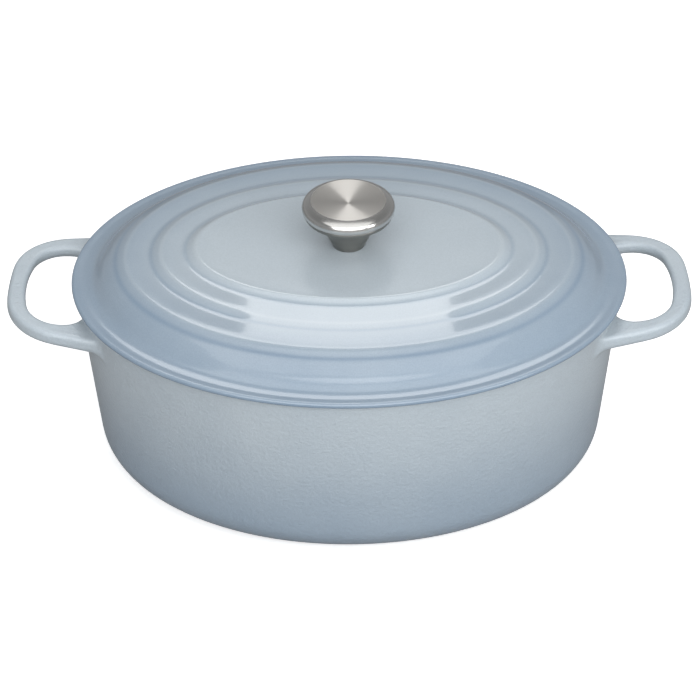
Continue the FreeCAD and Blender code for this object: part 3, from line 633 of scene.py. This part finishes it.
def turned(name, outline, materials, finishes, around=144):
    """A piece turned about the vertical axis from a closed outline of (radius, height) points. Each
    stretch of the outline takes its finish from the list; points on the axis are shared."""
    bm = bmesh.new()
    rows = []
    for radius, height in outline:
        if radius < 1e-6:
            rows.append([bm.verts.new((0, 0, height))])
        else:
            rows.append([bm.verts.new((radius * math.cos(a), radius * math.sin(a), height))
                         for a in np.arange(around) * 2 * math.pi / around])
    for low, high, finish in zip(rows, rows[1:] + rows[:1], finishes):
        if len(low) == 1 and len(high) == 1:
            continue
        for column in range(around):
            beside = (column + 1) % around
            corners = [low[column % len(low)], low[beside % len(low)],
                       high[beside % len(high)], high[column % len(high)]]
            bm.faces.new(list(dict.fromkeys(corners))).material_index = finish
    bmesh.ops.recalc_face_normals(bm, faces=bm.faces)
    return finish_piece(bm, name, materials, levels=0)


satin_steel = turned_metal("satin_steel", (0.64, 0.62, 0.59), 0.48, 0.60, 0.95, 0.000012, Pitch=2600.0)
polished_steel = turned_metal("polished_steel", (0.66, 0.65, 0.63), 0.16, 0.26, 0.6, 0.000004,
                              Pitch=1800.0)

dish_floor = cap_high.z - DISH_DEPTH
INSIDE_HEAD = KNOB_RADIUS - KNOB_SHEET
cap_outline = [(INSIDE_HEAD - 0.0002, HEAD_LOW + 0.0002), (INSIDE_HEAD, HEAD_LOW),
               (KNOB_RADIUS - 0.0006, HEAD_LOW), (KNOB_RADIUS - 0.0003, HEAD_LOW + 0.0003),
               (KNOB_RADIUS - 0.00004, WIDEST_LINE - 0.0003), (KNOB_RADIUS, WIDEST_LINE)]
cap_outline += arc_between(cap_outline[-1], (BEVEL_RADIUS + 0.0001, BEVEL_FOOT - 0.0002), 0.00022, 6)
cap_outline += arc_between(cap_outline[-1], (DISH_RADIUS + 0.0003, cap_high.z - 0.00012), 0.00016, 6)
polished = len(cap_outline) - 1
cap_outline += [(DISH_RADIUS, cap_high.z), (DISH_RADIUS - 0.0003, cap_high.z - 0.00010)]
cap_outline += [(r, dish_floor + (cap_high.z - 0.0001 - dish_floor) * (r / DISH_RADIUS) ** 1.15)
                for r in np.linspace(DISH_RADIUS - 0.0006, 0.0004, 14)] + [(0, dish_floor)]
cap_outline += [(0, dish_floor - KNOB_SHEET), (DISH_RADIUS - 0.0006, cap_high.z - KNOB_SHEET),
                (BEVEL_RADIUS - 0.0012, BEVEL_FOOT - 0.0012), (INSIDE_HEAD, WIDEST_LINE - 0.0004)]
cap_finish = [1] * polished + [0] * (len(cap_outline) - polished)
knob_cap = turned("knob_cap_steel", cap_outline, [satin_steel, polished_steel], cap_finish)
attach(knob_cap, "lid")
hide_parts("knob_cap")

# ------------------------------------------------------------------------------------------
# The knob's neck: a spun stainless trumpet that flares from a narrow foot on the lid up to the
# cap, which is rolled on to its top. Its inside is hollow above the bush.
stem_low, stem_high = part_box("knob_stem")
FOOT_RADIUS, WAIST_RADIUS, WAIST_HEIGHT = 0.0088, 0.0109, 0.0052
NECK_TOP = stem_high.x
BUSH_BORE = 0.00665
throat = (NECK_TOP - 0.0005, stem_high.z - 0.0024)
stem_outline = [(BUSH_BORE, stem_low.z + 0.0003), (BUSH_BORE + 0.0003, stem_low.z),
                (FOOT_RADIUS - 0.0004, stem_low.z), (FOOT_RADIUS, stem_low.z + 0.0005)]
stem_outline += arc_between(stem_outline[-1], (WAIST_RADIUS, stem_low.z + WAIST_HEIGHT), -0.0002, 4)
stem_outline += arc_between(stem_outline[-1], throat, -0.0020, 16)
stem_outline += [(NECK_TOP, stem_high.z - 0.0008), (NECK_TOP, stem_high.z),
                 (NECK_TOP - KNOB_SHEET, stem_high.z), (NECK_TOP - KNOB_SHEET, stem_high.z - 0.0008)]
hollow_floor = stem_low.z + WAIST_HEIGHT + 0.0024
stem_outline += arc_between(stem_outline[-1], (WAIST_RADIUS - 0.0007, hollow_floor), 0.0018, 8)
stem_outline += [(BUSH_BORE, hollow_floor)]
# the neck's steel gets a much darker colour than the cap's: painted shade under the cap
neck_steel_painted_shade = turned_metal("neck_steel_painted_shade", (0.30, 0.295, 0.275), 0.28, 0.38, 0.85, 0.000010, Pitch=2200.0)
knob_stem = turned("knob_stem_steel", stem_outline, [neck_steel_painted_shade], [0] * len(stem_outline))
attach(knob_stem, "lid")
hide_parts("knob_stem")

# ------------------------------------------------------------------------------------------
# The fastening: a brass bush pressed into the neck, and under the lid a flat washer, a split
# spring washer and an M6 pan-head screw, all stainless. These are the design's own solids.
bush_brass = turned_metal("bush_brass", (0.72, 0.53, 0.25), 0.25, 0.4, 0.0, 0.00002, Pitch=1500.0)
washer_steel = turned_metal("washer_steel", (0.55, 0.545, 0.53), 0.22, 0.38, 0.0, 0.00002, Pitch=1600.0)
screw_steel = turned_metal("screw_steel", (0.50, 0.50, 0.49), 0.2, 0.34, 0.0, 0.00001, Pitch=1900.0)
for name, metal in (("knob_insert", bush_brass), ("flat_washer", washer_steel),
                    ("lock_washer", washer_steel), ("knob_screw", screw_steel)):
    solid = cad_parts[name]
    solid.data.materials.clear()
    solid.data.materials.append(metal)

# ------------------------------------------------------------------------------------------
# The studio: a plain pale floor, one broad soft light above the front, smaller ones overhead, to
# the right and high at the back, and a surround that is palest near the floor.
world = bpy.data.worlds.new("surround")
bpy.context.scene.world = world
world.use_nodes = True
sky = world.node_tree
backdrop = sky.nodes["Background"]
backdrop.inputs["Color"].default_value = (0.96, 0.98, 1.0, 1)
facing = node(sky, "ShaderNodeTexCoord", (-900, 0))
split = node(sky, "ShaderNodeSeparateXYZ", (-700, 0))
rise = node(sky, "ShaderNodeMapRange", (-500, 0), interpolation_type="SMOOTHSTEP")
for key, value in (("From Min", -0.05), ("From Max", 0.9), ("To Min", 0.40), ("To Max", 0.24)):
    rise.inputs[key].default_value = value
seen = node(sky, "ShaderNodeLightPath", (-500, 300))
shown = node(sky, "ShaderNodeMix", (-250, 100), data_type="FLOAT")
shown.inputs["B"].default_value = 1.1
sky.links.new(facing.outputs["Generated"], split.inputs[0])
sky.links.new(split.outputs["Z"], rise.inputs["Value"])
sky.links.new(seen.outputs["Is Camera Ray"], shown.inputs["Factor"])
sky.links.new(rise.outputs["Result"], shown.inputs["A"])
sky.links.new(shown.outputs[0], backdrop.inputs["Strength"])

bpy.ops.mesh.primitive_plane_add(size=12, location=(0, 0, -0.0002))
floor = bpy.context.object
floor.name = "floor"
floor_paint = bpy.data.materials.new("floor_paint")
floor_paint.use_nodes = True
floor_tree = floor_paint.node_tree
floor_shader = floor_tree.nodes["Principled BSDF"]
floor_shader.inputs["Roughness"].default_value = 0.9
floor_shader.inputs["Specular IOR Level"].default_value = 0.1
seen = node(floor_tree, "ShaderNodeLightPath", (-500, 300))
paint = node(floor_tree, "ShaderNodeMix", (-250, 300), data_type="RGBA")
paint.inputs[6].default_value = (0.36, 0.36, 0.36, 1)
paint.inputs[7].default_value = (0.97, 0.97, 0.97, 1)
floor_tree.links.new(seen.outputs["Is Camera Ray"], paint.inputs[0])
floor_tree.links.new(paint.outputs[2], floor_shader.inputs["Base Color"])
glow = node(floor_tree, "ShaderNodeMath", (-250, 0), operation="MULTIPLY")
glow.inputs[1].default_value = 0.5
floor_shader.inputs["Emission Color"].default_value = (1, 1, 1, 1)
floor_tree.links.new(seen.outputs["Is Camera Ray"], glow.inputs[0])
floor_tree.links.new(glow.outputs[0], floor_shader.inputs["Emission Strength"])
floor.data.materials.append(floor_paint)


def soft_light(name, place, aim, width, height, power):
    """A rectangular soft light at a place, turned to face a point."""
    lamp = bpy.data.lights.new(name, "AREA")
    lamp.shape = "RECTANGLE"
    lamp.size, lamp.size_y, lamp.energy = width, height, power
    holder = bpy.data.objects.new(name, lamp)
    holder.location = place
    holder.rotation_euler = (Vector(aim) - Vector(place)).to_track_quat("-Z", "Y").to_euler()
    bpy.context.scene.collection.objects.link(holder)
    return holder


soft_light("front_light", (0.05, -1.5, 1.15), (0, 0, 0.08), 2.6, 1.5, 33)
soft_light("right_light", (1.5, -1.1, 0.9), (0, 0, 0.08), 0.6, 0.8, 8)
soft_light("back_light", (0.0, 1.6, 1.9), (0, 0, 0.08), 1.2, 0.7, 8)
soft_light("top_light", (0.0, -0.3, 1.5), (0, -0.05, 0.1), 1.9, 0.9, 6)

# the camera looks down on the long side from in front
camera_data = bpy.data.cameras.new("camera")
camera_data.lens, camera_data.sensor_width = 113.14, 36
camera = bpy.data.objects.new("camera", camera_data)
camera.location = (0.0054, -0.9694, 0.7864)
heading, elevation, roll = (math.radians(angle) for angle in (0.31, 36.85, -0.53))
camera.matrix_world = (Matrix.Translation(camera.location) @ Matrix.Rotation(heading, 4, "Z")
                       @ Matrix.Rotation(math.pi / 2 - elevation, 4, "X") @ Matrix.Rotation(roll, 4, "Z"))
bpy.context.scene.collection.objects.link(camera)
bpy.context.scene.camera = camera
bpy.context.scene.view_settings.view_transform = "Standard"
